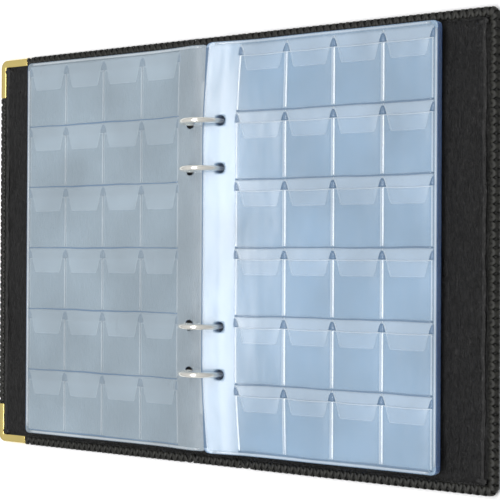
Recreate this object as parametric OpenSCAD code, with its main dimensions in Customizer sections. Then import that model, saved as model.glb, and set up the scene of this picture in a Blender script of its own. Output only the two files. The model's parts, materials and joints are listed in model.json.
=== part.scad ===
// A ring-bound coin album lying open and flat: a front cover, a spine and a back cover, a
// four-ring mechanism on the spine, and ten clear pocket leaves, the first of them turned over.
// X runs across the open album, Y along the spine and Z up. The origin is on the table,
// under the middle of the spine.

/* [Covers] */
// Height of the album along the spine
cover_height = 256; // [250:1:270]
// Reach of each cover from its hinge line to its outer edge
cover_reach = 170.4; // [170.4:0.1:180]
// Thickness of a cover, lacing included
cover_thick = 3.5; // [3.4:0.1:4]
// Radius of the outer corners
corner_r = 5; // [4:0.5:8]
// Width of the laced edge
lacing_w = 4.5; // [4:0.1:6]
// Length of each arm of a metal corner
metal_arm = 25; // [18:1:35]

/* [Spine] */
// Distance between the two hinge lines
hinge_spread = 33.8; // [33.8:0.1:36]
// Thickness of the spine
spine_thick = 3; // [2.8:0.1:3]
// Radius of the leather fold along each hinge line
fold_r = 1.6; // [1.4:0.1:1.6]

/* [Ring mechanism] */
// Radius of a ring, to the middle of its wire
ring_r = 13; // [12.6:0.1:13]
// Diameter of the ring wire
wire_d = 3.2; // [2.8:0.1:3.2]
// Height of the ring centres above the table
ring_z = 16.8; // [16.8:0.1:17.5]
// Distance from the middle of the mechanism to the two inner rings
ring_near = 46.5; // [44:0.5:48]
// Distance from the middle of the mechanism to the two outer rings
ring_far = 74.5; // [72:0.5:78]
// How far the mechanism sits above the middle of the spine
mech_shift = 1.8; // [0:0.1:3]
// Length of the mechanism's shell
shell_length = 200; // [196:1:215]
// Width of the shell
shell_w = 25.2; // [25.2:0.1:26]

/* [Leaves] */
// Number of leaves; the first lies on the front cover
leaf_count = 10; // [10:1:10]
// Height of a leaf
leaf_height = 243; // [238:1:246]
// Distance from the ring centres to a leaf's outer edge
leaf_reach = 155.3; // [150:0.1:155.3]
// Thickness of a leaf with empty pockets
leaf_thick = 0.6; // [0.6:0.05:0.7]
// Distance between neighbouring leaves on the rings
leaf_pitch = 0.9; // [0.85:0.01:0.92]
// Slope of the leaves on the back cover, in degrees
tilt_back = 3.2; // [3:0.1:3.3]
// Slope of the turned leaf on the front cover, in degrees
tilt_front = 0.4; // [0:0.1:2]
// Pockets across a leaf
columns = 4; // [3:1:5]
// Pockets down a leaf
rows = 6; // [4:1:7]
// Distance between neighbouring columns of pockets
column_pitch = 32.2; // [30:0.1:32.3]
// Diameter of the ring holes in a leaf
hole_d = 6.4; // [6.2:0.1:6.6]

/* [Hidden] */
$fn = 48;
hinge_x = hinge_spread / 2;
hinge_z = cover_thick / 2;
half_height = cover_height / 2;
hinge_gap = 1.9;          // from a hinge line to its cover's own edge
skin_t = 0.7;             // leather outside
lining_t = 0.7;           // leather inside
foam_t = 0.8;
slot_inset = 1.5;         // the laced edge's outer wall
metal_t = 0.6;
metal_over = 0.2;         // how far a metal corner stands out past the lacing
spine_skin_t = 0.6;
spine_lining_t = 0.6;
spine_edge = hinge_x - 1;
cut = 1;                  // how far a cutting shape runs past what it cuts

shell_h = 6.2;
shell_t = 0.7;
shell_power = 3;          // how square the shell's shoulders are
shell_soft = 0.625;
shell_steps = 24;
slot_length = 4.4;        // along the spine
slot_in = 6.4;
slot_out = 11.5;
rivet_y = 92;
rivet_r = 1.6;
rivet_head_r = 3.4;
rivet_head_h = 1.2;
plate_out = 9.8;          // where a ring plate pivots
plate_in = 0.3;
plate_z = 4.4;
plate_t = 1;
plate_half = 84;
pivot_r = 0.6;
ring_end_x = 5;           // where a ring half stops, beside the middle of the spine
pin_r = 0.7;
pin_l = 1;
socket_r = 0.85;
socket_l = 1.2;
ring_ys = [-ring_far, -ring_near, ring_near, ring_far];

hole_slack = 1.3;         // a leaf hangs this far out on its wire
hole_inset = 11;          // from a leaf's inner edge to its holes
border = 2.4;
leaf_r = 3;
backing_t = 0.25;
film_t = 0.15;
weld_w = 0.8;
row_pitch = (leaf_height - 2 * border) / rows;
weld_out = leaf_reach - border;
weld_in = weld_out - columns * column_pitch;
film_drop = 0.17;         // the film's open edge, as a part of a row, below the row's top
strip_drop = 0.045;       // the joined top of the flaps
flap_drop = 0.42;         // the flaps' free ends
flap_top = 0.93;          // width of a flap, as a part of a column
flap_end = 0.69;

LEAF_PARTS = ["backing", "pockets", "flaps"];
RING_NAMES = ["bottom", "lower", "upper", "top"];
function two(n) = n < 10 ? str("0", n) : str(n);
function leaf_node(i, part) = str("leaf_", two(i), "_", part);

// ---- covers: drawn on the back cover's side, and mirrored for the front cover ----

module cover_shape(inset, x0 = hinge_x + hinge_gap) {
    x1 = hinge_x + cover_reach - inset;
    y1 = half_height - inset;
    r = max(corner_r - inset, 0.5);
    translate([x0, -y1]) square([x1 - r - x0, 2 * y1]);
    translate([x0, -y1 + r]) square([x1 - x0, 2 * (y1 - r)]);
    for (s = [-1, 1]) translate([x1 - r, s * (y1 - r)]) circle(r);
}

module layer(z0, z1, inset) {
    translate([0, 0, z0]) linear_extrude(z1 - z0) cover_shape(inset);
}

module cover_outer_skin() { layer(0, skin_t, lacing_w); }
module cover_foam() { layer(skin_t, skin_t + foam_t, slot_inset); }
module cover_board() { layer(skin_t + foam_t, cover_thick - lining_t, slot_inset); }
module cover_lining() { layer(cover_thick - lining_t, cover_thick, lacing_w); }

// The laced leather wraps the edge: a rim with a slot that holds the board and the foam.
module cover_lacing() {
    x_cut = hinge_x + hinge_gap - cut;
    difference() {
        layer(0, cover_thick, 0);
        translate([0, 0, -cut])
            linear_extrude(cover_thick + 2 * cut) cover_shape(lacing_w, x_cut);
        translate([0, 0, skin_t])
            linear_extrude(cover_thick - skin_t - lining_t) cover_shape(slot_inset, x_cut);
    }
}

module corner_zone(side, grow) {
    x = hinge_x + cover_reach - metal_arm;
    y = side * (half_height - metal_arm / 2 + cut);
    translate([x, y - metal_arm / 2 - cut, -cut])
        cube([metal_arm + grow, metal_arm + 2 * cut, cover_thick + 3 * cut]);
}

// One folded metal corner: it covers the rim along two arms, mitred on the inner face.
module metal_corner(side) {
    tall = cover_thick + metal_over;
    mitre_w = 0.5;
    x_mitre = hinge_x + cover_reach - lacing_w;
    y_mitre = side * (half_height - lacing_w);
    color([0.86, 0.72, 0.36]) intersection() {
        difference() {
            layer(0, tall, -metal_over);
            translate([0, 0, -cut])
                linear_extrude(tall + 2 * cut) cover_shape(lacing_w);
            translate([0, 0, metal_t])
                linear_extrude(tall - 2 * metal_t) cover_shape(slot_inset - metal_t);
            translate([x_mitre, y_mitre, tall - metal_t])
                rotate([0, 0, side * 45]) translate([-cut, -mitre_w / 2, 0])
                    cube([lacing_w, mitre_w, metal_t + cut]);
        }
        corner_zone(side, cut);
    }
}

module front() { mirror([1, 0, 0]) children(); }

module front_lacing() {
    color([0.1, 0.1, 0.09]) front() difference() {
        cover_lacing();
        for (side = [-1, 1]) corner_zone(side, cut);
    }
}

// ---- spine ----

module fold_cut() {
    for (s = [-1, 1]) translate([s * hinge_x, 0, hinge_z]) rotate([90, 0, 0])
        cylinder(r = fold_r, h = cover_height + 2 * cut, center = true);
}

module spine_layer(z0, z1, inset, x = spine_edge) {
    difference() {
        translate([-x, -half_height + inset, z0])
            cube([2 * x, cover_height - 2 * inset, z1 - z0]);
        fold_cut();
    }
}

module rivet_holes() {
    for (s = [-1, 1]) translate([0, mech_shift + s * rivet_y, 0])
        cylinder(r = rivet_r, h = spine_thick + shell_h + cut);
}

module spine_outer_skin() {
    color([0.07, 0.07, 0.08]) spine_layer(0, spine_skin_t, lacing_w);
}

module spine_board() {
    color([0.5, 0.42, 0.3]) difference() {
        spine_layer(spine_skin_t, spine_thick - spine_lining_t, slot_inset);
        rivet_holes();
    }
}

module spine_lining() {
    color([0.07, 0.07, 0.08]) difference() {
        spine_layer(spine_thick - spine_lining_t, spine_thick, lacing_w);
        rivet_holes();
    }
}

module spine_lacing() {
    slot_h = spine_thick - spine_skin_t - spine_lining_t;
    color([0.1, 0.1, 0.09]) for (s = [-1, 1]) difference() {
        translate([-spine_edge, s * (half_height - lacing_w / 2) - lacing_w / 2, 0])
            cube([2 * spine_edge, lacing_w, spine_thick]);
        translate([-spine_edge - cut, s * (half_height - slot_inset - 5) - 5, spine_skin_t])
            cube([2 * spine_edge + 2 * cut, 10, slot_h]);
        fold_cut();
    }
}

module hinge_fold(side) {
    color([0.07, 0.07, 0.08]) translate([side * hinge_x, 0, hinge_z]) rotate([90, 0, 0])
        cylinder(r = fold_r, h = cover_height, center = true);
}

// ---- ring mechanism ----

// Height of the shell's outside above the spine at a share t of its half width.
function shell_rise(t, h) = h * pow(1 - pow(abs(t), shell_power), shell_soft);

module shell_profile(half_w, h) {
    polygon([for (k = [0:shell_steps]) let (t = 2 * k / shell_steps - 1)
        [half_w * t, shell_rise(t, h)]]);
}

module shell_prism(half_w, h, length) {
    rotate([90, 0, 0]) linear_extrude(length, center = true) shell_profile(half_w, h);
}

module mechanism_shell() {
    half_w = shell_w / 2;
    end_r = 8;
    color([0.85, 0.86, 0.88]) translate([0, mech_shift, spine_thick]) difference() {
        intersection() {
            shell_prism(half_w, shell_h, shell_length);
            linear_extrude(shell_h + cut) union() {
                square([shell_w, shell_length - 2 * end_r], center = true);
                square([shell_w - 2 * end_r, shell_length], center = true);
                for (x = [-1, 1], y = [-1, 1])
                    translate([x * (half_w - end_r), y * (shell_length / 2 - end_r)])
                        circle(end_r);
            }
        }
        translate([0, 0, -0.01]) shell_prism(half_w - shell_t, shell_h - shell_t, shell_length + cut);
        for (y = ring_ys, s = [-1, 1])
            translate([s * (slot_in + slot_out) / 2, y, shell_h / 2 + cut])
                cube([slot_out - slot_in, slot_length, shell_h + cut], center = true);
        for (s = [-1, 1]) translate([0, s * rivet_y, 0]) {
            cylinder(r = rivet_r, h = shell_h + cut);
            translate([0, 0, shell_h - 0.2]) cylinder(r = rivet_head_r, h = cut);
        }
    }
}

module mechanism_rivets() {
    foot = spine_skin_t;
    head_z = spine_thick + shell_h - 0.2;
    color([0.8, 0.81, 0.83]) for (s = [-1, 1]) translate([0, mech_shift + s * rivet_y, 0]) {
        translate([0, 0, foot]) cylinder(r = rivet_r, h = head_z - foot);
        translate([0, 0, head_z]) cylinder(r1 = rivet_head_r, r2 = 2.4, h = rivet_head_h);
    }
}

module left_ring_plate() {
    color([0.75, 0.76, 0.78]) translate([0, mech_shift, 0]) {
        translate([-plate_out, -plate_half, plate_z])
            cube([plate_out - plate_in, 2 * plate_half, plate_t]);
        translate([-plate_out, 0, plate_z + plate_t / 2]) rotate([90, 0, 0])
            cylinder(r = pivot_r, h = 2 * plate_half, center = true);
    }
}

// Half a ring, from the top down to its plate; the left half carries the closing pin.
module ring_half(y, pinned) {
    wire_r = wire_d / 2;
    sweep = 180 - asin(ring_end_x / ring_r);
    color([0.88, 0.89, 0.91]) translate([0, mech_shift + y, 0]) difference() {
        union() {
            translate([0, 0, ring_z]) rotate([90, 0, 0])
                rotate([0, 0, 90]) rotate_extrude(angle = sweep, $fn = 96)
                    translate([ring_r, 0]) circle(wire_r, $fn = 32);
            if (pinned) translate([0, 0, ring_z + ring_r]) rotate([0, 90, 0])
                translate([0, 0, -cut]) cylinder(r = pin_r, h = cut + pin_l, $fn = 24);
        }
        if (!pinned) translate([-socket_l, 0, ring_z + ring_r]) rotate([0, 90, 0])
            cylinder(r = socket_r, h = socket_l + cut, $fn = 24);
        translate([-ring_r - 5, -5, plate_z + plate_t - 10])
            cube([ring_r + 5, 10, 10]);
    }
}

module left_ring(k) { ring_half(ring_ys[k], true); }
module right_ring(k) { mirror([1, 0, 0]) ring_half(ring_ys[k], false); }

// ---- leaves ----
// Each leaf is drawn flat, with X outwards from the ring centres and Z out of its front.

function slot_z(i) = ((leaf_count + 1) / 2 - i) * leaf_pitch;
function hole_x(i) = sqrt(ring_r * ring_r - slot_z(i) * slot_z(i)) + hole_slack;
function row_y(k) = leaf_height / 2 - border - k * row_pitch;
film_base = backing_t - leaf_thick / 2;
film_z = leaf_thick / 2 - film_t;

module on_rings(i) {
    turn = i == 1 ? -(180 + tilt_front) : tilt_back;
    translate([0, mech_shift, ring_z]) rotate([0, turn, 0]) translate([0, 0, slot_z(i)])
        children();
}

module leaf_backing(i) {
    x0 = hole_x(i) - hole_inset;
    y1 = leaf_height / 2;
    color([0.72, 0.82, 0.92, 0.45]) on_rings(i) translate([0, 0, -leaf_thick / 2])
        linear_extrude(backing_t) difference() {
            union() {
                translate([x0 + leaf_r, -y1]) square([leaf_reach - x0 - 2 * leaf_r, 2 * y1]);
                translate([x0, -y1 + leaf_r]) square([leaf_reach - x0, 2 * (y1 - leaf_r)]);
                for (x = [x0 + leaf_r, leaf_reach - leaf_r], s = [-1, 1])
                    translate([x, s * (y1 - leaf_r)]) circle(leaf_r);
            }
            for (y = ring_ys) translate([hole_x(i), y]) circle(hole_d / 2);
        }
}

// One row of pockets: a film welded to the backing along its sides, its columns and its foot.
module pocket_row(k) {
    foot = row_y(k + 1);
    mouth = row_y(k) - film_drop * row_pitch;
    width = weld_out - weld_in;
    translate([weld_in, foot, film_z]) cube([width, mouth - foot, film_t]);
    translate([weld_in, foot, film_base]) cube([width, weld_w, film_z - film_base]);
    for (c = [0:columns]) {
        x = weld_in + c * (width - weld_w) / columns;
        translate([x, foot, film_base]) cube([weld_w, mouth - foot, film_z - film_base]);
    }
}

module leaf_pockets(i) {
    color([0.78, 0.86, 0.95, 0.4]) on_rings(i) for (k = [0:rows - 1]) pocket_row(k);
}

// One strip of flaps: each tucks down behind the film of the pocket below it.
module flap_row(k) {
    top = row_y(k);
    strip = top - strip_drop * row_pitch;
    end = top - flap_drop * row_pitch;
    flap_t = (film_z - film_base) * 0.7;
    translate([0, 0, film_base]) linear_extrude(flap_t) union() {
        translate([weld_in, strip]) square([weld_out - weld_in, top - strip]);
        for (c = [0:columns - 1]) {
            x = weld_in + (c + 0.5) * column_pitch;
            wide = flap_top * column_pitch / 2;
            slim = flap_end * column_pitch / 2;
            polygon([[x - wide, strip + 0.1], [x + wide, strip + 0.1], [x + slim, end], [x - slim, end]]);
        }
    }
}

module leaf_flaps(i) {
    color([0.62, 0.76, 0.9, 0.6]) on_rings(i) for (k = [0:rows - 1]) flap_row(k);
}

// ---- nodes ----
leather = [0.07, 0.07, 0.08];
lace = [0.1, 0.1, 0.09];
pad = [0.8, 0.78, 0.7];
card = [0.5, 0.42, 0.3];

front() color(leather) cover_outer_skin();  // front_outer_skin
front() color(pad) cover_foam();  // front_foam
front() color(card) cover_board();  // front_board
front() color(leather) cover_lining();  // front_lining
front_lacing();
front() metal_corner(1);  // front_corner_top
front() metal_corner(-1);  // front_corner_bottom
color(leather) cover_outer_skin();  // back_outer_skin
color(pad) cover_foam();  // back_foam
color(card) cover_board();  // back_board
color(leather) cover_lining();  // back_lining
color(lace) cover_lacing();  // back_lacing
spine_outer_skin();
spine_board();
spine_lining();
spine_lacing();
hinge_fold(-1);  // front_fold
hinge_fold(1);  // back_fold
mechanism_shell();
mechanism_rivets();
left_ring_plate();
mirror([1, 0, 0]) left_ring_plate();  // right_ring_plate
for (k = [0:3]) {
    left_ring(k);
    right_ring(k);
}
for (i = [1:leaf_count]) {
    leaf_backing(i);
    leaf_pockets(i);
    leaf_flaps(i);
}
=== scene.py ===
import json
import math

import bpy
import numpy as np
from mathutils import Matrix, Vector

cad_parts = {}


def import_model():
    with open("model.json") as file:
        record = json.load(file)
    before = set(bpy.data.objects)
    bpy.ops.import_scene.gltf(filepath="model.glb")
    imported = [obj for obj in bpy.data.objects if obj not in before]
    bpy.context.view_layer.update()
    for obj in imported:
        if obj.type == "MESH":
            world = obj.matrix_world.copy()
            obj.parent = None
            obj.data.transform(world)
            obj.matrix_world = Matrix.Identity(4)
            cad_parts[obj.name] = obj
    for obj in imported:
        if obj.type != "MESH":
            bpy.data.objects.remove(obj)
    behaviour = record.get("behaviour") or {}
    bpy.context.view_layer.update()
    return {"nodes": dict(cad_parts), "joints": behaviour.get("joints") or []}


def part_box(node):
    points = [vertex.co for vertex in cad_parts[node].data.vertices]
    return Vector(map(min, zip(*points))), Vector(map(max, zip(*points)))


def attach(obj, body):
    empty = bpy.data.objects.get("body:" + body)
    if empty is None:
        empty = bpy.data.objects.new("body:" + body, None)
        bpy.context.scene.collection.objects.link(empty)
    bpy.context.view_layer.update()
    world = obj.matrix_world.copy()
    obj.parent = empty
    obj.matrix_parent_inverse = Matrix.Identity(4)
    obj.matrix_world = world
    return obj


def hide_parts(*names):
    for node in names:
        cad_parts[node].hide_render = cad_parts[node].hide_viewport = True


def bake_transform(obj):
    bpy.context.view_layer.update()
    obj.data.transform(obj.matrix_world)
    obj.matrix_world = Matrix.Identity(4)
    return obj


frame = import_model()

# ---------------------------------------------------------------- sizes, in metres
MM = 0.001
JOINTS = {j["name"]: j for j in frame["joints"]}
HINGE_X = JOINTS["back_cover_turn"]["pos_m"][0]
RING_CENTRE = Vector(JOINTS["leaf_10_turn"]["pos_m"])
EDGE_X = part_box("back_board")[1].x + 1.5 * MM      # outer edge of the laced covers
HALF_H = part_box("back_lacing")[1].y
COVER_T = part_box("back_lacing")[1].z
SPINE_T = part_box("spine_lacing")[1].z
CORNER_R = 5 * MM
METAL_ARM = 25 * MM
SPINE_HALF = HINGE_X - 2.6 * MM                    # half the width of the spine's stiff panel

LEAVES = 10
LEAF_PITCH = 0.9 * MM
LEAF_REACH = 155.3 * MM
LEAF_HALF = 121.5 * MM
RING_R = 13 * MM
HOLE_SLACK = 1.3 * MM
HOLE_INSET = 11 * MM
HOLE_R = 3.2 * MM
RING_YS = [-74.5 * MM, -46.5 * MM, 46.5 * MM, 74.5 * MM]
BORDER = 2.4 * MM
COLUMNS, ROWS = 4, 6
COLUMN = 32.2 * MM
ROW = (2 * LEAF_HALF - 2 * BORDER) / ROWS
WELD_OUT = LEAF_REACH - BORDER
WELD_IN = WELD_OUT - COLUMNS * COLUMN
TILT_BACK, TILT_FRONT = 3.2, 0.4                   # degrees the stacked and turned leaves lie off flat
FILM_DROP = 0.165 * ROW                            # from a row's weld down to its pocket's mouth
FLAP_DROP = 0.40 * ROW                             # and down to the end of its flap


# ---------------------------------------------------------------- node helpers
def new_material(name):
    m = bpy.data.materials.new(name)
    m.use_nodes = True
    tree = m.node_tree
    return m, tree, tree.nodes["Principled BSDF"]


def add(tree, kind, **values):
    node = tree.nodes.new(kind)
    for key, value in values.items():
        if key in node.inputs:
            node.inputs[key].default_value = value
        else:
            setattr(node, key, value)
    return node


def link(tree, a, b):
    tree.links.new(a, b)


def scaled_coords(tree, scale):
    coords = add(tree, "ShaderNodeTexCoord")
    mapping = add(tree, "ShaderNodeMapping")
    mapping.inputs["Scale"].default_value = scale
    link(tree, coords.outputs["Object"], mapping.inputs["Vector"])
    return mapping.outputs["Vector"]


def noise(tree, scale, detail=3.0, stretch=(1, 1, 1), rough=0.5):
    n = add(tree, "ShaderNodeTexNoise", Scale=scale, Detail=detail, Roughness=rough)
    link(tree, scaled_coords(tree, stretch), n.inputs["Vector"])
    return n.outputs["Fac"]


def ramp(tree, fac, stops):
    r = add(tree, "ShaderNodeValToRGB")
    while len(r.color_ramp.elements) < len(stops):
        r.color_ramp.elements.new(0.5)
    for element, (at, colour) in zip(r.color_ramp.elements, stops):
        element.position = at
        element.color = (*colour, 1)
    link(tree, fac, r.inputs["Fac"])
    return r.outputs["Color"]


def bumped(tree, shader, heights):
    """Chains bumps: heights is [(fac, distance in metres, strength)]."""
    normal = None
    for fac, distance, strength in heights:
        b = add(tree, "ShaderNodeBump", Strength=strength, Distance=distance)
        link(tree, fac, b.inputs["Height"])
        if normal is not None:
            link(tree, normal, b.inputs["Normal"])
        normal = b.outputs["Normal"]
    link(tree, normal, shader.inputs["Normal"])


def spread(tree, fac, low, high):
    m = add(tree, "ShaderNodeMapRange")
    m.inputs["To Min"].default_value = low
    m.inputs["To Max"].default_value = high
    link(tree, fac, m.inputs["Value"])
    return m.outputs["Result"]


# ---------------------------------------------------------------- materials
FLECK_HIGHLIGHT = 5  # how many times lighter the painted highlight flecks on the creases are than the leather


def leather(name, dark, light, crease):
    """Fine pebbled leather with long creases along the spine's direction, and light flecks that are
    painted highlights on the creases.
    """
    m, tree, shader = new_material(name)
    grain = add(tree, "ShaderNodeTexVoronoi", Scale=1500.0)
    link(tree, scaled_coords(tree, (1, 1, 1)), grain.inputs["Vector"])
    folds = noise(tree, 260.0, detail=6.0, stretch=(1.0, 0.2, 1.0), rough=0.62)
    pleats = noise(tree, 900.0, detail=4.0, stretch=(1.0, 0.3, 1.0), rough=0.6)
    cloud = noise(tree, 30.0, detail=3.0)
    flecks = noise(tree, 650.0, detail=6.0, stretch=(1.0, 0.45, 1.0), rough=0.7)
    # The lightest stop paints small highlights on the leather's creases.
    fleck_highlight = tuple(c * FLECK_HIGHLIGHT for c in light)
    link(tree, ramp(tree, flecks, [(0.35, dark), (0.6, light), (0.74, fleck_highlight)]),
         shader.inputs["Base Color"])
    link(tree, spread(tree, cloud, 0.36, 0.56), shader.inputs["Roughness"])
    shader.inputs["Specular IOR Level"].default_value = 0.42
    bumped(tree, shader, [(grain.outputs["Distance"], 0.0006, 0.8), (pleats, 0.0022, crease),
                          (folds, 0.0065, crease)])
    return m


def lace_leather(name):
    m, tree, shader = new_material(name)
    wear = noise(tree, 500.0, 4.0)
    fine = noise(tree, 2600.0, 3.0)
    link(tree, ramp(tree, wear, [(0.35, (0.007, 0.007, 0.006)), (0.7, (0.026, 0.026, 0.021))]),
         shader.inputs["Base Color"])
    link(tree, spread(tree, fine, 0.34, 0.6), shader.inputs["Roughness"])
    shader.inputs["Specular IOR Level"].default_value = 0.3
    bumped(tree, shader, [(fine, 0.00012, 0.5)])
    return m


def polished(name, colour, low, high, metallic=1.0):
    """Plated metal with fine wear in its polish."""
    m, tree, shader = new_material(name)
    wear = noise(tree, 700.0, 5.0)
    soft = noise(tree, 90.0, 2.0)
    tint = [(0.3, tuple(c * 0.93 for c in colour)), (0.7, colour)]
    link(tree, ramp(tree, soft, tint), shader.inputs["Base Color"])
    link(tree, spread(tree, wear, low, high), shader.inputs["Roughness"])
    shader.inputs["Metallic"].default_value = metallic
    bumped(tree, shader, [(wear, 0.00002, 0.25)])
    return m


def film(name, thin, alpha, thick=None, rough=0.18, ripple=0.35):
    """Clear bluish PVC: a milky sheet with slow ripples and a soft gloss."""
    thick = thick or tuple(c * 0.84 for c in thin)
    m, tree, shader = new_material(name)
    cloud = noise(tree, 22.0, 3.0)
    ripples = noise(tree, 55.0, 2.0, (1.0, 0.45, 1.0))
    link(tree, ramp(tree, cloud, [(0.35, thick), (0.68, thin)]), shader.inputs["Base Color"])
    link(tree, spread(tree, ripples, rough, rough + 0.08), shader.inputs["Roughness"])
    shader.inputs["Alpha"].default_value = alpha
    shader.inputs["Specular IOR Level"].default_value = 1.0
    shader.inputs["IOR"].default_value = 1.7
    bumped(tree, shader, [(ripples, 0.0012, ripple)])
    return m


LEATHER = leather("black_leather", (0.003, 0.003, 0.0031), (0.012, 0.0118, 0.0115), 1.0)
LEATHER_EDGE = leather("edge_leather", (0.003, 0.003, 0.003), (0.010, 0.010, 0.009), 0.3)
# The ridge's leather is lighter than the cover's, a painted highlight along the pressed ridge.
LEATHER_RIDGE_HIGHLIGHT = leather("ridge_leather", (0.009, 0.009, 0.0088), (0.03, 0.0295, 0.029), 0.6)
LACE = lace_leather("edge_lace")
GOLD = polished("pale_gold", (1.0, 0.80, 0.29), 0.14, 0.26, 0.85)
NICKEL = polished("nickel", (0.97, 0.95, 0.88), 0.1, 0.2, 0.72)
STEEL = polished("plate_steel", (0.62, 0.63, 0.65), 0.25, 0.4)
SEAM = film("row_weld", (0.17, 0.27, 0.41), 0.85)
RIM = film("film_edge", (0.10, 0.27, 0.72), 0.9, (0.05, 0.17, 0.54))


class Films:
    """The materials of one leaf: its films have a tint, and the doubled parts are lighter.

    back, front and flap are alphas; margin is a share and what it mixes towards, 0 or 1; mixed towards
    1 the margin is lighter, a painted highlight beside the rings.
    """

    def __init__(self, name, tint, back, front, flap, margin):
        def mix(k, other):
            return tuple(c + (other - c) * k for c in tint)
        self.back = film(name + "_backing", mix(0.1, 0), back, rough=0.22)
        self.margin = film(name + "_margin", mix(*margin), 0.36, rough=0.2)
        self.front = film(name + "_pocket", tint, front)
        self.flap = film(name + "_flap", mix(0.3, 1), flap)
        # The lip colour is much lighter: it paints highlights on the flaps' edges, the welds' flanks,
        # the pockets' mouths and the pressed edges.
        self.lip_highlight = film(name + "_lip", mix(0.5, 1), 0.5)
        # The weld colour is stress-whitened film, made lighter still as a painted highlight on the
        # weld ridges.
        self.weld = film(name + "_weld", mix(0.4, 1), 0.34, rough=0.16)
        # A dark film between the flaps above each pocket's mouth: painted shade.
        self.gap = film(name + "_gap", (0.16, 0.30, 0.50), 0.3)


# The stacked leaves' margin is mixed towards white, a painted highlight beside the rings.
STACKED = Films("stacked", (0.48, 0.68, 0.88), 0.30, 0.12, 0.34, (0.12, 1))
TURNED = Films("turned", (0.55, 0.68, 0.78), 0.30, 0.32, 0.40, (0.1, 1))


# ---------------------------------------------------------------- mesh helpers
class Shape:
    """Collects points and faces, each face with a material number."""

    def __init__(self):
        self.points, self.faces, self.marks = [], [], []

    def add(self, points, faces, mark=0):
        base = len(self.points)
        self.points += [tuple(p) for p in points]
        self.faces += [tuple(base + i for i in f) for f in faces]
        self.marks += list(mark) if isinstance(mark, list) else [mark] * len(faces)

    def build(self, name, materials):
        mesh = bpy.data.meshes.new(name)
        mesh.from_pydata(self.points, [], self.faces)
        for m in materials:
            mesh.materials.append(m)
        mesh.polygons.foreach_set("material_index", np.array(self.marks, np.int32))
        mesh.polygons.foreach_set("use_smooth", np.full(len(self.faces), True))
        mesh.update()
        obj = bpy.data.objects.new(name, mesh)
        bpy.context.scene.collection.objects.link(obj)
        return obj


def grid_faces(n, m):
    """Faces of an n by m grid of points, numbered with m running fastest."""
    return [(i * m + j, (i + 1) * m + j, (i + 1) * m + j + 1, i * m + j + 1)
            for i in range(n - 1) for j in range(m - 1)]


def grid_rim(n, m):
    """The outline of such a grid, as one loop of point numbers."""
    return ([i * m for i in range(n)] + [(n - 1) * m + j for j in range(1, m)]
            + [i * m + m - 1 for i in range(n - 2, -1, -1)] + [j for j in range(m - 2, 0, -1)])


def thin_solid(shape, top, bottom, n, m, mark=0, rim_mark=0):
    """A closed sheet between two grids of the same layout."""
    faces = grid_faces(n, m)
    marks = list(mark) if isinstance(mark, list) else [mark] * len(faces)
    count = n * m
    under = [tuple(count + i for i in reversed(f)) for f in faces]
    rim = grid_rim(n, m)
    sides = [(a, a + count, b + count, b) for a, b in zip(rim, rim[1:] + rim[:1])]
    shape.add(np.vstack([top, bottom]), faces + under + sides,
              marks + marks + [rim_mark] * len(sides))


def sweep(shape, rings):
    """Joins rings of points, each a closed loop of the same length, and caps both ends."""
    n, k = len(rings), len(rings[0])
    faces = [(i * k + a, i * k + (a + 1) % k, (i + 1) * k + (a + 1) % k, (i + 1) * k + a)
             for i in range(n - 1) for a in range(k)]
    faces += [tuple(reversed(range(k))), tuple((n - 1) * k + a for a in range(k))]
    shape.add(np.vstack(rings), faces)


def smooth_between(x, low, high):
    t = np.clip((x - low) / (high - low), 0, 1)
    return t * t * (3 - 2 * t)


# ---------------------------------------------------------------- laced covers
CORNER_STEPS = 8


class CoverEdge:
    """A cover's edge, as a path from the hinge along the top, the outside and the bottom."""

    def __init__(self, side):
        self.side = side
        self.start = HINGE_X - 3 * MM
        self.straight = EDGE_X - CORNER_R - self.start
        self.arc = math.pi / 2 * CORNER_R
        self.tall = 2 * (HALF_H - CORNER_R)
        self.length = 2 * self.straight + 2 * self.arc + self.tall

    def at(self, s, inset, z):
        """The point at s along the path, this far in from the edge."""
        a = self.straight
        b = a + self.arc
        c = b + self.tall
        d = c + self.arc
        corner = EDGE_X - CORNER_R
        if s < a:
            x, y = self.start + s, HALF_H - inset
        elif s < b:
            t = (s - a) / CORNER_R
            x = corner + (CORNER_R - inset) * math.sin(t)
            y = HALF_H - CORNER_R + (CORNER_R - inset) * math.cos(t)
        elif s < c:
            x, y = EDGE_X - inset, HALF_H - CORNER_R - (s - b)
        elif s < d:
            t = (s - c) / CORNER_R
            x = corner + (CORNER_R - inset) * math.cos(t)
            y = -HALF_H + CORNER_R - (CORNER_R - inset) * math.sin(t)
        else:
            x, y = corner - (s - d), -HALF_H + inset
        return Vector((self.side * x, y, z))

    def middle_of_corner(self, top):
        return self.straight + self.arc / 2 + (0 if top else self.tall + self.arc)

    def stations(self, s0, s1, step=4 * MM):
        """Path lengths between s0 and s1, close together round the corners."""
        marks = set(np.linspace(s0, s1, max(2, int((s1 - s0) / step) + 1)))
        for first in (self.straight, self.straight + self.arc + self.tall):
            for k in range(CORNER_STEPS + 1):
                s = first + self.arc * k / CORNER_STEPS
                if s0 < s < s1:
                    marks.add(s)
        return sorted(marks)


def strap(shape, path, normals, width, thick):
    """A flat leather lace of oval section along a path of points."""
    rings = []
    for i, (p, m) in enumerate(zip(path, normals)):
        t = path[min(i + 1, len(path) - 1)] - path[max(i - 1, 0)]
        b = t.cross(m).normalized()
        m = b.cross(t).normalized()
        end = 0.55 if i in (0, len(path) - 1) else 1.0
        rings.append([tuple(p + b * (width / 2 * end * math.cos(a))
                            + m * (thick / 2 * math.sin(a)))
                      for a in (k * math.pi / 4 for k in range(8))])
    sweep(shape, np.array(rings))


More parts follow.
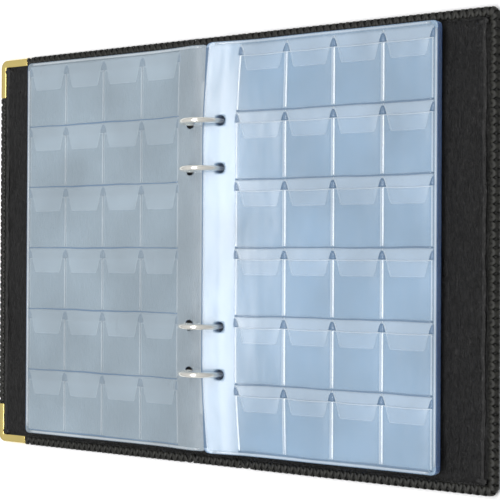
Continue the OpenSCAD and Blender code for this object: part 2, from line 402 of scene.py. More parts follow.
LACE_PITCH = 4.6 * MM
LACE_WIDTH, LACE_THICK = 2.5 * MM, 0.62 * MM
LACE_OVER = 0.2 * MM   # how far the second leg of a stitch lies over the first
LACE_CLEAR = 2.2 * MM  # from a stitch to a metal corner
# Along the edge in pitches, in from it in mm, height (1 on the inner face), lift in mm.
LACE_PATH = [
    (0.00, 4.3, 1.0, -0.45), (0.12, 3.7, 1.0, 0.12), (0.32, 2.2, 1.0, 0.28),
    (0.50, 0.8, 1.0, 0.12), (0.62, -0.1, 0.78, 0.0), (0.70, -0.42, 0.5, 0.0),
    (0.80, -0.1, 0.22, 0.0), (0.95, 0.8, 0.0, 0.0), (1.20, 2.6, 0.0, 0.05), (1.42, 4.0, 0.0, 0.3)]


def lace_stitch(shape, place, s, thick_here, lean, raise_by):
    """One leg of the lacing: out of a hole, over the edge and round to the other face."""
    low, high = 0.4 * MM, thick_here - 0.1 * MM
    points, normals = [], []
    for along, inset, up, lift in LACE_PATH:
        at = s + lean * along * LACE_PITCH
        z = low + (high - low) * up + lift * MM
        points.append(place(at, inset * MM - raise_by * (0 if up > 0.9 else 1), z))
        if inset > 0.5:
            facing = Vector((0, 0, 1 if up > 0.5 else -1))
        else:
            out = place(at, -1.0, z) - place(at, 0, z)
            tilt = 2 * up - 1
            facing = Vector((0, 0, tilt)) * abs(tilt) + out.normalized() * (1 - abs(tilt))
        normals.append(facing.normalized())
    strap(shape, points, normals, LACE_WIDTH, LACE_THICK)


def edge_profile(thick_here):
    """Section of the leather edge under the lacing: inset in and height, as a closed loop."""
    low, high = 0.25 * MM, thick_here - 0.35 * MM
    r = (high - low) / 2
    bend = [(r - r * math.sin(a), low + r - r * math.cos(a))
            for a in (k * math.pi / 8 for k in range(9))]
    return [(6 * MM, low)] + bend + [(6 * MM, high)]


def laced_edge(name, side, body, gaps):
    """The leather rim of a cover with its lacing, left out at the metal corners."""
    edge = CoverEdge(side)
    skip = 5.5 * MM
    rim, lace = Shape(), Shape()
    profile = edge_profile(COVER_T)
    rings = [[tuple(edge.at(s, n, z)) for n, z in profile]
             for s in edge.stations(skip, edge.length - skip)]
    sweep(rim, np.array(rings))
    count = int((edge.length - 2 * skip) / LACE_PITCH)
    for k in range(count):
        s = skip + (k + 0.5) * LACE_PITCH
        if any(a - LACE_CLEAR < s < b + LACE_CLEAR for a, b in gaps):
            continue
        lace_stitch(lace, edge.at, s, COVER_T, 1, 0)
        lace_stitch(lace, edge.at, s, COVER_T, -1, LACE_OVER)
    core = rim.build(name + "_edge", [LEATHER_EDGE])
    strips = lace.build(name + "_lacing_strips", [LACE])
    for piece, node in ((core, None), (strips, name + "_lacing")):
        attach(piece, body)
        if node:
            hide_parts(node)


RIDGE_IN, RIDGE_Z = 7.4 * MM, 3.75 * MM       # the ridge's middle: in from the edge, and height
RIDGE_HALF, RIDGE_RISE = 1.2 * MM, 0.6 * MM   # half its width and half its height


def pressed_ridge(name, side, body):
    """The low ridge over the end of the turned-in leather, along the outer edge."""
    edge = CoverEdge(side)
    past_leaf = edge.straight - 6 * MM
    rings = []
    for s in edge.stations(past_leaf, edge.length - past_leaf):
        sway = 0.25 * MM * math.sin(s / (9 * MM)) + 0.15 * MM * math.sin(s / (3.7 * MM) + 1)
        rings.append([tuple(edge.at(s, RIDGE_IN + sway + RIDGE_HALF * math.cos(a),
                                    RIDGE_Z + RIDGE_RISE * math.sin(a)))
                      for a in (k * math.pi / 6 for k in range(12))])
    shape = Shape()
    sweep(shape, np.array(rings))
    piece = shape.build(name + "_turn_in", [LEATHER_RIDGE_HIGHLIGHT])
    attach(piece, body)


def metal_corner(name, top):
    """A folded gold corner, swept round the front cover's outer corner."""
    edge = CoverEdge(-1)
    mid = edge.middle_of_corner(top)
    half = METAL_ARM - CORNER_R + edge.arc / 2
    t = COVER_T + 0.2 * MM
    outer = [(4.7 * MM, t - 0.15 * MM), (4.3 * MM, t + 0.02 * MM), (2.6 * MM, t + 0.12 * MM),
             (0.9 * MM, t), (0.1 * MM, t - 0.25 * MM), (-0.3 * MM, t - 0.8 * MM),
             (-0.35 * MM, t / 2), (-0.3 * MM, 0.8 * MM), (0.1 * MM, 0.25 * MM),
             (0.9 * MM, 0.02 * MM), (4.6 * MM, 0.02 * MM)]
    inner = [(4.6 * MM, 0.5 * MM), (0.9 * MM, 0.5 * MM), (0.35 * MM, 1.0 * MM),
             (0.35 * MM, t - 1.0 * MM), (0.9 * MM, t - 0.5 * MM), (4.7 * MM, t - 0.5 * MM)]
    rings = [[tuple(edge.at(s, n, z)) for n, z in outer + inner]
             for s in edge.stations(mid - half, mid + half, 3 * MM)]
    shape = Shape()
    sweep(shape, np.array(rings))
    piece = shape.build(name, [GOLD])
    bevel = piece.modifiers.new("soft_edges", "BEVEL")
    bevel.width = 0.12 * MM
    bevel.segments = 2
    bevel.limit_method = "ANGLE"
    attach(piece, "front_cover")
    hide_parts(name)
    return mid - half, mid + half


# ---------------------------------------------------------------- padded covers
PAD_IN = HINGE_X + 3 * MM
PAD_INSET = 4.2 * MM
PAD_STEP = 3.2 * MM
LINING_EDGE, LINING_RISE, LINING_ROLL = 2.75 * MM, 1.0 * MM, 0.35 * MM
OUTER_EDGE, OUTER_DROP = 0.9 * MM, 0.75 * MM
SWELL_CAP = 0.55 * MM                         # as far as the cloth may move a point
CLOTH_FRAMES = 20
LINING_LOW, LINING_MORE = 3.85 * MM, 0.45 * MM  # its ceiling beside the spine, and added further out
RING_ROOM = (34 * MM, 50 * MM)                # from the hinge, where the ceiling rises


def pad_grid(step):
    """Points of the padded panel seen from above, and how many each way."""
    x0, x1 = PAD_IN, EDGE_X - PAD_INSET
    y1 = HALF_H - PAD_INSET
    xs = np.linspace(x0, x1, int((x1 - x0) / step) + 1)
    ys = np.linspace(-y1, y1, int(2 * y1 / step) + 1)
    gx, gy = np.meshgrid(xs, ys, indexing="ij")
    return gx, gy, len(xs), len(ys)


def fill_of(gx, gy):
    """How far up the padding has come: 0 at the edges, 1 inside."""
    d = np.minimum(np.minimum(gx - PAD_IN + 0.5 * MM, EDGE_X - PAD_INSET - gx),
                   HALF_H - PAD_INSET - np.abs(gy))
    return smooth_between(d, 0, 4.5 * MM), d


def puffed(obj, cap):
    """Lets the leather swell over its foam as cloth, pinned at its edge, by no more than cap."""
    mesh = obj.data
    rest = np.array([v.co for v in mesh.vertices])
    group = obj.vertex_groups.new(name="held")
    _, d = fill_of(np.abs(rest[:, 0]), rest[:, 1])
    for i in np.nonzero(d < 0.6 * MM)[0]:
        group.add([int(i)], 1.0, "REPLACE")
    cloth = obj.modifiers.new("swell", "CLOTH")
    s = cloth.settings
    s.quality = 5
    s.mass = 0.3
    s.tension_stiffness = s.compression_stiffness = 18
    s.shear_stiffness = 8
    s.bending_stiffness = 0.4
    s.vertex_group_mass = "held"
    s.shrink_min = -0.012
    s.use_pressure = True
    s.uniform_pressure_force = 3.0
    s.effector_weights.gravity = 0
    cloth.point_cache.frame_start, cloth.point_cache.frame_end = 1, CLOTH_FRAMES
    scene = bpy.context.scene
    for f in range(1, CLOTH_FRAMES + 1):
        scene.frame_set(f)
    dg = bpy.context.evaluated_depsgraph_get()
    moved = np.array([v.co for v in obj.evaluated_get(dg).data.vertices])
    obj.modifiers.remove(cloth)
    obj.vertex_groups.clear()
    scene.frame_set(1)
    shift = moved - rest
    far = np.linalg.norm(shift, axis=1, keepdims=True)
    shift *= cap * np.tanh(far / cap) / np.maximum(far, 1e-9)
    moved = rest + shift
    mesh.vertices.foreach_set("co", moved.ravel())
    mesh.update()


def padded_cover(name, side, body):
    """Leather over foam over board, both faces, as one closed padded panel."""
    gx, gy, n, m = pad_grid(PAD_STEP)
    rise, d = fill_of(gx, gy)
    ridge = np.exp(-((d - 4.6 * MM) / (2.2 * MM)) ** 2)
    top = LINING_EDGE + LINING_RISE * rise + LINING_ROLL * ridge
    low = OUTER_EDGE - OUTER_DROP * rise
    shape = Shape()
    upper = np.stack([side * gx, gy, top], -1).reshape(-1, 3)
    lower = np.stack([side * gx, gy, low], -1).reshape(-1, 3)
    thin_solid(shape, upper, lower, n, m)
    piece = shape.build(name + "_padding", [LEATHER])
    if side < 0:
        piece.data.flip_normals()
    puffed(piece, SWELL_CAP)
    co = np.array([v.co for v in piece.data.vertices])
    # Beside the spine the lining stays low, because the rings come close to it in a closed album.
    clear = smooth_between(np.abs(co[:, 0]), HINGE_X + RING_ROOM[0], HINGE_X + RING_ROOM[1])
    co[:, 2] = np.clip(co[:, 2], 0.06 * MM, LINING_LOW + LINING_MORE * clear)
    piece.data.vertices.foreach_set("co", co.ravel())
    sub = piece.modifiers.new("smooth", "SUBSURF")
    sub.levels = sub.render_levels = 1
    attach(piece, body)
    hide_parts(*(name + part for part in ("_outer_skin", "_foam", "_board", "_lining")))


def spine_panel():
    """The spine's leather over its board."""
    xs = np.linspace(-SPINE_HALF, SPINE_HALF, 15)
    ys = np.linspace(-HALF_H + PAD_INSET, HALF_H - PAD_INSET, 90)
    gx, gy = np.meshgrid(xs, ys, indexing="ij")
    d = np.minimum(SPINE_HALF - np.abs(gx), HALF_H - PAD_INSET - np.abs(gy))
    rise = smooth_between(d, 0, 2 * MM)
    shape = Shape()
    top = np.stack([gx, gy, 2.45 * MM + 0.5 * MM * rise], -1).reshape(-1, 3)
    low = np.stack([gx, gy, 0.5 * MM - 0.4 * MM * rise], -1).reshape(-1, 3)
    thin_solid(shape, top, low, len(xs), len(ys))
    piece = shape.build("spine_leather", [LEATHER])
    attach(piece, "spine")
    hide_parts("spine_outer_skin", "spine_board", "spine_lining")


def hinge_leather(name, side):
    """The flexible leather joint between the spine and a cover, with its two grooves."""
    reach = 4.2 * MM
    tall = HALF_H - 0.9 * MM
    us = np.linspace(-reach, reach, 17)
    ys = np.linspace(-tall, tall, 90)
    gu, gy = np.meshgrid(us, ys, indexing="ij")
    thick = 0.25 + 0.75 * smooth_between(tall - np.abs(gy), 0, 3 * MM)  # thinner at both ends
    groove = np.exp(-(gu / (1.7 * MM)) ** 2)
    across = (gu + reach) / (2 * reach)
    mid = COVER_T / 2 - 0.1 * MM
    top = (2.35 * MM + 0.75 * MM * across - 0.8 * MM * groove - mid) * thick + mid
    low = (0.3 * MM + 0.6 * MM * groove - mid) * thick + mid
    gx = side * (HINGE_X + gu)
    shape = Shape()
    thin_solid(shape, np.stack([gx, gy, top], -1).reshape(-1, 3),
               np.stack([gx, gy, low], -1).reshape(-1, 3), len(us), len(ys))
    piece = shape.build(name, [LEATHER])
    if side < 0:
        piece.data.flip_normals()
    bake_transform(piece)
    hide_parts(name)


def spine_lacing():
    """Rim and lacing along the spine's two ends, and over the leather joints beside it."""
    rim, lace = Shape(), Shape()
    joints = {1: Shape(), -1: Shape()}
    profile = edge_profile(SPINE_T)
    for end in (1, -1):
        def place(s, inset, z, end=end):
            return Vector((s, end * (HALF_H - inset), z))
        rings = [[tuple(place(s, n, z)) for n, z in profile]
                 for s in np.linspace(-SPINE_HALF, SPINE_HALF, 12)]
        sweep(rim, np.array(rings))
        count = int(2 * (HINGE_X + 3 * MM) / LACE_PITCH)
        for k in range(count + 1):
            s = (k - count / 2) * LACE_PITCH
            near_hinge = abs(s) > SPINE_HALF - 0.4 * MM
            target = joints[1 if s > 0 else -1] if near_hinge else lace
            thick_here = COVER_T - 0.3 * MM if near_hinge else SPINE_T
            lace_stitch(target, place, s, thick_here, 1, 0)
            lace_stitch(target, place, s, thick_here, -1, LACE_OVER)
    core = rim.build("spine_edge", [LEATHER_EDGE])
    strips = lace.build("spine_lacing_strips", [LACE])
    for piece in (core, strips):
        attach(piece, "spine")
    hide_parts("spine_lacing")
    for side, body in ((1, "back_cover"), (-1, "front_cover")):
        piece = joints[side].build(body + "_joint_lacing", [LACE])
        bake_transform(piece)


# ---------------------------------------------------------------- leaves
SEED = 40
DIP, DIP_NEAR_HOLES = 11.0 * MM, 1.6          # the sag over a leaf's width, more of it near its holes
INBOARD_LIFT = 0.25                           # share taken off the rise inboard of the holes
BEND_ROUND = 0.02                             # how round leaf 1's bend over its holes is
FREE_FALL = 3.2 * MM                          # how far leaf 1's free edge hangs on to the cover
DROOP_STACKED, DROOP_TURNED = 5.5 * MM, 1.5 * MM  # how far the inner corners hang
CORNER_FROM = 68 * MM                         # along the spine, where a leaf's ends begin to hang
CLOSING = 0.34                                # share of the gaps lost towards the free edges
WAVE = 0.12 * MM
SLIDE_UNDER, SLIDE_RATE, SLIDE_MOST = 3.15 * MM, 1.7, 2.7 * MM
SLIDE_REACH = 40 * MM


def corner_share(v):
    """0 along most of a leaf, rising to 1 at its two ends."""
    return np.clip((np.abs(v) - CORNER_FROM) / (LEAF_HALF - CORNER_FROM), 0, 1)


class Leaf:
    """One leaf's own frame: u out from the ring centres, v along the spine, w out of its front."""

    def __init__(self, number):
        self.number = number
        self.slot = ((LEAVES + 1) / 2 - number) * LEAF_PITCH
        turn = -(180 + TILT_FRONT) if number == 1 else TILT_BACK
        self.angle = math.radians(turn)
        self.hole_u = math.sqrt(RING_R ** 2 - self.slot ** 2) + HOLE_SLACK
        self.in_u = self.hole_u - HOLE_INSET
        self.body = "leaf_%02d" % number
        self.sag = -1 if number == 1 else 1
        self.phases = np.random.default_rng(SEED + number).uniform(0, 6.28, 6)
        self.films = TURNED if number == 1 else STACKED

    def bend(self, u, v):
        """How far the soft leaf hangs out of its own plane."""
        turned = self.number == 1
        s = (u - self.hole_u) / (LEAF_REACH - self.hole_u)
        # Leaf 1 falls away on both sides of its holes, so leaves turned on to it do not cross it.
        if turned:
            out = np.sqrt(s ** 2 + BEND_ROUND ** 2) - BEND_ROUND
        else:
            out = s - INBOARD_LIFT * np.minimum(s, 0)
        dip = DIP * out * (1 - out) * (1 + DIP_NEAR_HOLES * (1 - out) ** 2)
        ends = corner_share(v) ** 1.5
        droop = (DROOP_TURNED if turned else DROOP_STACKED) * ends
        droop = droop * (1 - smooth_between(s, 0, 0.5))
        close = CLOSING * self.slot * smooth_between(s, 0, 0.8)
        wave = WAVE * s * np.sin(v / (19 * MM) + self.phases[0] + 2 * s) * np.sin(math.pi * s)
        fall = FREE_FALL * np.clip(s, 0, 1) ** 2 if turned else 0
        return -self.sag * (dip + droop + fall) - close + wave

    def spread_corner(self, u, v):
        """Lower leaves slide a little further in at their inner corners."""
        step = min(max(SLIDE_UNDER - self.slot, 0) * SLIDE_RATE, SLIDE_MOST) * (self.number > 1)
        inner = 1 - smooth_between(u, self.hole_u, self.hole_u + SLIDE_REACH)
        return -step * corner_share(v) * inner

    def place(self, u, v, w):
        u, v, w = np.broadcast_arrays(u, v, w)
        u = u + self.spread_corner(u, v)
        high = self.slot + w + self.bend(u, v)
        x = u * math.cos(self.angle) + high * math.sin(self.angle)
        z = -u * math.sin(self.angle) + high * math.cos(self.angle)
        at = [RING_CENTRE.x + x, RING_CENTRE.y + v, RING_CENTRE.z + z]
        return np.stack(at, -1).reshape(-1, 3)

    def finish(self, piece, slot_name, replaced=None):
        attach(piece, self.body)
        if replaced:
            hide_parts(self.body + replaced)


BACK_LOW, BACK_HIGH = -0.30 * MM, -0.08 * MM
FILM_LOW, FILM_T = 0.02 * MM, 0.10 * MM


def row_top(k):
    return LEAF_HALF - BORDER - k * ROW


def lines(*stretches):
    """Sorted, distinct values from several lists."""
    values = sorted(v for stretch in stretches for v in stretch)
    kept = [values[0]]
    for v in values[1:]:
        if v - kept[-1] > 0.05 * MM:
            kept.append(v)
    return kept


def round_corner(u, v, u_low, u_high, r):
    """Draws a grid point in so that the outline has round corners."""
    cu = min(max(u, u_low + r), u_high - r)
    cv = min(max(v, -LEAF_HALF + r), LEAF_HALF - r)
    du, dv = u - cu, v - cv
    if du == 0 or dv == 0:
        return u, v
    k = max(abs(du), abs(dv)) / math.hypot(du, dv)
    return cu + du * k, cv + dv * k


def backing_layout(leaf):
    """The backing's points and faces laid flat, with round corners and four punched holes."""
    half, sides = 4.8 * MM, 8
    edge = [0, 0.8 * MM, 1.6 * MM, 3 * MM]
    patch = [half * (2 * k / sides - 1) for k in range(sides + 1)]
    us = lines([leaf.in_u + e for e in edge], [leaf.hole_u + p for p in patch],
               [WELD_IN], np.linspace(WELD_IN + 5 * MM, LEAF_REACH - edge[-1], 21),
               [LEAF_REACH - e for e in edge])
    vs = lines([-LEAF_HALF + e for e in edge], [LEAF_HALF - e for e in edge],
               *[[y + p for p in patch] for y in RING_YS],
               np.arange(-LEAF_HALF + 6 * MM, LEAF_HALF - 5 * MM, 7.5 * MM))
    vs = [v for v in vs if all(abs(v - y) >= half - 0.01 * MM or
                               min(abs(v - y - p) for p in patch) < 0.01 * MM for y in RING_YS)]
    index, flat = {}, []

    def point(u, v):
        key = (round(u / MM, 3), round(v / MM, 3))
        if key not in index:
            index[key] = len(flat)
            flat.append(round_corner(u, v, leaf.in_u, LEAF_REACH, 3 * MM))
        return index[key]

    def in_hole_patch(u, v):
        return abs(u - leaf.hole_u) < half and any(abs(v - y) < half for y in RING_YS)

    faces = []
    for u0, u1 in zip(us, us[1:]):
        for v0, v1 in zip(vs, vs[1:]):
            if not in_hole_patch((u0 + u1) / 2, (v0 + v1) / 2):
                faces.append((point(u0, v0), point(u1, v0), point(u1, v1), point(u0, v1)))
    for y in RING_YS:
        square = ([(p, -half) for p in patch[:-1]] + [(half, p) for p in patch[:-1]]
                  + [(-p, half) for p in patch[:-1]] + [(-half, -p) for p in patch[:-1]])
        rings = []
        for share in (1.0, 0.5, 0.0):
            ring = []
            for a, b in square:
                k = HOLE_R / math.hypot(a, b)
                du = a * (share + (1 - share) * k)
                dv = b * (share + (1 - share) * k)
                ring.append(point(leaf.hole_u + du, y + dv))
            rings.append(ring)
        for outer, inner in zip(rings, rings[1:]):
            for i in range(len(outer)):
                j = (i + 1) % len(outer)
                faces.append((outer[i], outer[j], inner[j], inner[i]))
    return np.array(flat), faces


def leaf_backing(leaf):
    """The backing sheet, a little raised where its edges are pressed."""
    flat, faces = backing_layout(leaf)
    count = len(flat)
    far = [max(flat[i][0] for i in f) for f in faces]
    # The margin inboard of the first weld takes the lightened margin film, a painted highlight beside
    # the rings.
    band = [3 if u < leaf.in_u + 0.9 * MM else 2 if u < WELD_IN + 0.1 * MM else 0 for u in far]
    on_edge = ((flat[:, 0] < leaf.in_u + 0.5 * MM) | (flat[:, 0] > LEAF_REACH - 0.5 * MM)
               | (np.abs(flat[:, 1]) > LEAF_HALF - 0.5 * MM))
    top = leaf.place(flat[:, 0], flat[:, 1], np.where(on_edge, 0.08 * MM, BACK_HIGH))
    low = leaf.place(flat[:, 0], flat[:, 1], BACK_LOW)
    edges = dict.fromkeys((a, b) for f in faces for a, b in zip(f, f[1:] + f[:1]))
    sides = [(b, a, a + count, b + count) for a, b in edges if (b, a) not in edges]
    under = [tuple(count + i for i in reversed(f)) for f in faces]
    shape = Shape()
    shape.add(np.vstack([top, low]), faces + under + sides, band + band + [1] * len(sides))
    films = [leaf.films.back, RIM, leaf.films.margin, SEAM]
    leaf.finish(shape.build(leaf.body + "_sheet", films), "clear_film", "_backing")


def column_offsets():
    """Where a column's grid lines are, closest together beside its welds."""
    half = COLUMN / 2
    near = [0.0, 0.3, 0.6, 1.1, 1.6, 2.4, 4.0, 7.5, 11.5]  # mm from a weld
    side = [n * MM for n in near] + [half]
    return side + [COLUMN - s for s in reversed(side[:-1])][:-1]


def leaf_film(leaf):
    """Six rows of pockets: each film is crowned, puckers into raised welds, and gapes a little."""
    offsets = column_offsets()
    us = np.array([WELD_IN + c * COLUMN + o for c in range(COLUMNS) for o in offsets] + [WELD_OUT])
    across = np.abs(((us - WELD_IN) / COLUMN + 0.5) % 1 - 0.5) * COLUMN
    shape = Shape()
    for k in range(ROWS):
        foot, mouth = row_top(k + 1), row_top(k) - FILM_DROP
        steps = [0.0, 0.35, 0.8, 1.6, 3.0, 6.0, 11.0, 17.0, 23.0, 28.0, 31.0]
        vs = np.array([foot + s * MM for s in steps] + [mouth - 0.5 * MM, mouth])
        gu, gv = np.meshgrid(us, vs, indexing="ij")
        side = np.broadcast_to(across[:, None], gu.shape)
        up = np.clip((gv - foot) / (mouth - foot), 0, 1)
        inside = smooth_between(side, 0.8 * MM, 9 * MM)
        ridge = np.exp(-(side / (0.75 * MM)) ** 2)
        rough = np.sin(gu / (7 * MM) + leaf.phases[1] + k) * np.sin(gv / (9 * MM) + leaf.phases[2])
        full = smooth_between(gv - foot, 0, 2.5 * MM)
        crown = 3.0 if leaf.number == 2 else 1.0  # nothing presses on the leaf on top
        w = FILM_LOW + full * (0.20 * MM * ridge + crown * inside * (0.06 + 0.14 * up) * MM
                               + 0.04 * MM * rough * inside)
        gv = gv - smooth_between(up, 0.9, 1) * 0.5 * MM * np.sin(math.pi * side / COLUMN)
        top = leaf.place(gu, gv, w + FILM_T)
        low = leaf.place(gu, gv, w)
        from_weld = (across[:-1] + across[1:]) / 2
        # Within 0.6 mm of a weld the film takes the weld colour; from 0.6 to 1.1 mm, along the mouth
        # and on the rims it takes the lip colour, a painted soft highlight.
        marks = []
        for i in range(len(us) - 1):
            for j in range(len(vs) - 1):
                if j > 1 and from_weld[i] < 1.1 * MM:
                    marks.append(1 if from_weld[i] < 0.6 * MM else 2)
                else:
                    marks.append(2 if j == len(vs) - 2 else 0)
        thin_solid(shape, top, low, len(us), len(vs), marks, 2)
    films = [leaf.films.front, leaf.films.weld, leaf.films.lip_highlight]
    leaf.finish(shape.build(leaf.body + "_pocket_films", films), "clear_film", "_pockets")


def flap_outline(n=5):
    """Half of a flap's outline: share of its drop, and half width."""
    wide, slim, r = 0.475 * COLUMN, 0.345 * COLUMN, 1.3 * MM
    strip = 0.045 * ROW
    points = [(0.0, COLUMN / 2), (strip, COLUMN / 2), (strip + 0.02 * MM, wide)]
    for t in np.linspace(0.12, 0.86, 6):
        points.append((strip + t * (FLAP_DROP - strip), wide + (slim - wide) * t ** 0.8))
    for k in range(1, n + 1):
        a = k / n * math.pi / 2
        points.append((FLAP_DROP - r + r * math.sin(a), slim - r * 0.8 * (1 - math.cos(a))))
    return points


def leaf_flaps(leaf):
    """Six combs of flaps, each tucked behind the film of the pocket below it."""
    shape = Shape()
    outline = flap_outline()
    shares = np.array([-1, -0.955, -0.7, -0.35, 0, 0.35, 0.7, 0.97, 1])
    # The left edge strip and the rounded end of each flap take the lip colour, a painted highlight.
    marks = [1 if i == 0 or j >= len(outline) - 3 else 0
             for i in range(len(shares) - 1) for j in range(len(outline) - 1)]
    for k in range(ROWS):
        for c in range(COLUMNS):
            middle = WELD_IN + (c + 0.5) * COLUMN
            gu = np.array([[middle + s * half for _, half in outline] for s in shares])
            gv = np.array([[row_top(k) - drop for drop, _ in outline] for _ in shares])
            lift = 0.04 * MM * np.cos(shares * 1.4)[:, None] * np.ones_like(gu)
            top = leaf.place(gu, gv, -0.035 * MM + lift)
            low = leaf.place(gu, gv, -0.065 * MM + lift)
            thin_solid(shape, top, low, len(shares), len(outline), marks, 1)
    films = [leaf.films.flap, leaf.films.lip_highlight]
    leaf.finish(shape.build(leaf.body + "_flap_strips", films), "flap_film", "_flaps")


EDGE_STOP = 4.5 * MM               # from a leaf's corner to where its pressed edge starts
EDGE_WELD = (0.35 * MM, 1.7 * MM)  # the pressed edge of a leaf, from and to
WELD_HALF = 0.34 * MM
MOUTH_HALF = 2.5 * MM
COLUMN_WELD_HALF = 0.26 * MM


def doubled(line):
    return np.stack([line, line], 1)


def between(line, low, high):
    """Two straight lines of points, as many as in line, at low and at high."""
    return np.stack([np.full_like(line, low), np.full_like(line, high)], 1)


def weld_strip(shape, leaf, gu, gv, high, low, mark):
    """A long strip, two points wide, from one height over the leaf to another."""
    thin_solid(shape, leaf.place(gu, gv, high), leaf.place(gu, gv, low), len(gu), 2, mark, mark)


def row_welds(shape, leaf):
    """The dark weld line under each row, a little wavy."""
    us = np.linspace(WELD_IN, WELD_OUT, 61)
    p = leaf.phases
    for k in range(1, ROWS + 1):
        wander = (0.16 * MM * np.sin(us / (11 * MM) + p[3] + k)
                  + 0.1 * MM * np.sin(us / (4.3 * MM) + p[4] + 2 * k))
        mid = row_top(k) + wander
        width = WELD_HALF * (1 + 0.25 * np.sin(us / (17 * MM) + p[5]))
        weld_strip(shape, leaf, doubled(us), np.stack([mid - width, mid + width], 1),
                   FILM_LOW + FILM_T + 0.05 * MM, BACK_LOW - 0.03 * MM, 0)


def column_welds_and_mouth_shade(shape, leaf):
    """Dark patches that paint the shade in the mouths beside the flaps, and the welds between the
    columns below them.
    """
    shares = np.linspace(0, 1, 6)
    half = MOUTH_HALF * np.sin(shares * math.pi / 2) ** 0.6 + 0.1 * MM
    for k in range(ROWS):
        top, foot = row_top(k) - 0.02 * ROW, row_top(k) - FILM_DROP
        for c in range(COLUMNS + 1):
            u = WELD_IN + c * COLUMN
            left = half if c else half * 0.4
            right = half if c < COLUMNS else half * 0.4
            # The mouth patch is painted shade between the flaps.
            weld_strip(shape, leaf, np.stack([u - left, u + right], 1),
                       doubled(top + (foot - top) * shares), -0.068 * MM, -0.076 * MM, 1)
            vs = np.linspace(foot, row_top(k + 1) + 0.8 * MM, 8)
            weld_strip(shape, leaf, between(vs, u - COLUMN_WELD_HALF, u + COLUMN_WELD_HALF),
                       doubled(vs), BACK_LOW, BACK_LOW - 0.07 * MM, 2)


def pressed_edge(shape, leaf):
    """The light line along the leaf's free edge and its two ends: a pressed weld, drawn in the lighter
    lip colour as a painted highlight.
    """
    near, far = EDGE_WELD
    vs = np.linspace(-LEAF_HALF + EDGE_STOP, LEAF_HALF - EDGE_STOP, 61)
    us = np.linspace(leaf.in_u + EDGE_STOP, LEAF_REACH - EDGE_STOP, 49)
    for gu, gv in ((between(vs, LEAF_REACH - far, LEAF_REACH - near), doubled(vs)),
                   (doubled(us), between(us, LEAF_HALF - near, LEAF_HALF - far)),
                   (doubled(us), between(us, -LEAF_HALF + far, -LEAF_HALF + near))):
        weld_strip(shape, leaf, gu, gv, FILM_LOW + FILM_T + 0.03 * MM, BACK_LOW - 0.02 * MM, 3)


def leaf_welds(leaf):
    """All the welds of a leaf, with the painted shade in the pockets' mouths, as one piece."""
    shape = Shape()
    row_welds(shape, leaf)
    column_welds_and_mouth_shade(shape, leaf)
    pressed_edge(shape, leaf)
    films = [SEAM, leaf.films.gap, leaf.films.weld, leaf.films.lip_highlight]
    leaf.finish(shape.build(leaf.body + "_welds", films), "clear_film")


# ---------------------------------------------------------------- the album
gold_gaps = [metal_corner("front_corner_top", True), metal_corner("front_corner_bottom", False)]
laced_edge("front", -1, "front_cover", gold_gaps)
laced_edge("back", 1, "back_cover", [])
padded_cover("front", -1, "front_cover")
padded_cover("back", 1, "back_cover")
pressed_ridge("front", -1, "front_cover")
pressed_ridge("back", 1, "back_cover")
spine_panel()
hinge_leather("front_fold", -1)
hinge_leather("back_fold", 1)
spine_lacing()
for number in range(1, LEAVES + 1):
    one = Leaf(number)
    leaf_backing(one)
    leaf_film(one)
    leaf_flaps(one)
    leaf_welds(one)

for node_name, node_object in frame["nodes"].items():
    metal = STEEL if node_name.endswith("_plate") else NICKEL
    if "ring" in node_name or "mechanism" in node_name:
        for material_slot in node_object.material_slots:
            material_slot.material = metal


# ---------------------------------------------------------------- floor, light and camera
def floor():
    half = 6.0
    shape = Shape()
    steps = np.linspace(-half, half, 9)
    gx, gy = np.meshgrid(steps, steps, indexing="ij")
    points = np.stack([gx, gy, np.full_like(gx, -0.0002)], -1).reshape(-1, 3)
    shape.add(points, grid_faces(len(steps), len(steps)))
    m, tree, shader = new_material("white_floor")
    link(tree, ramp(tree, noise(tree, 3.0), [(0.3, (0.93, 0.93, 0.93)), (0.7, (0.95, 0.95, 0.95))]),
         shader.inputs["Base Color"])
    shader.inputs["Roughness"].default_value = 0.9
    shader.inputs["Specular IOR Level"].default_value = 0.1
    shape.build("floor", [m])


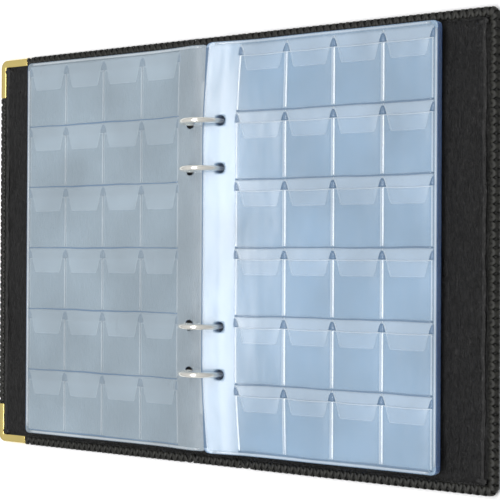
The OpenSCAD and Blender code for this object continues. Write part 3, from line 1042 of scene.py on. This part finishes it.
def softbox(name, at, towards_x, size, power):
    """A soft light, wide in X and long in Y, turned about Y towards a line on the table."""
    data = bpy.data.lights.new(name, "AREA")
    data.shape = "RECTANGLE"
    data.size, data.size_y = size
    data.energy = power
    lamp = bpy.data.objects.new(name, data)
    bpy.context.scene.collection.objects.link(lamp)
    lamp.location = at
    lamp.rotation_euler = (0, math.atan2(at[0] - towards_x, at[2]), 0)


def world():
    w = bpy.data.worlds.new("studio")
    bpy.context.scene.world = w
    w.use_nodes = True
    tree = w.node_tree
    back = tree.nodes["Background"]
    coords = add(tree, "ShaderNodeTexCoord")
    split = add(tree, "ShaderNodeSeparateXYZ")
    link(tree, coords.outputs["Generated"], split.inputs["Vector"])
    shade = ramp(tree, spread(tree, split.outputs["Z"], 0.0, 1.0),
                 [(0.0, (0.55, 0.56, 0.58)), (0.45, (0.8, 0.81, 0.83)), (1.0, (1, 1, 1))])
    link(tree, shade, back.inputs["Color"])
    back.inputs["Strength"].default_value = 0.52


CAMERA_AT = (0.5531, -0.00557, 0.69609)
CAMERA_TURN = (37.325, 0.3995, 0.31)  # degrees of yaw, pitch and roll
LENS_MM = 106.475


def camera():
    data = bpy.data.cameras.new("view")
    cam = bpy.data.objects.new("view", data)
    bpy.context.scene.collection.objects.link(cam)
    bpy.context.scene.camera = cam
    data.sensor_width = 36
    data.lens = LENS_MM
    data.clip_end = 50
    yaw, pitch, roll = (math.radians(a) for a in CAMERA_TURN)
    look = Vector((-math.sin(yaw) * math.cos(pitch), math.sin(pitch),
                   -math.cos(yaw) * math.cos(pitch)))
    right = look.cross(Vector((0, 1, 0))).normalized()
    up = right.cross(look)
    right, up = (right * math.cos(roll) + up * math.sin(roll),
                 up * math.cos(roll) - right * math.sin(roll))
    turn = Matrix((right, up, -look)).transposed().to_4x4()
    cam.matrix_world = Matrix.Translation(CAMERA_AT) @ turn


floor()
world()
camera()
softbox("overhead", at=(-0.13, 0.0, 1.2), towards_x=0.0, size=(0.4, 2.2), power=17.5)
bpy.context.scene.view_settings.view_transform = "Standard"
bpy.context.scene.cycles.transparent_max_bounces = 48
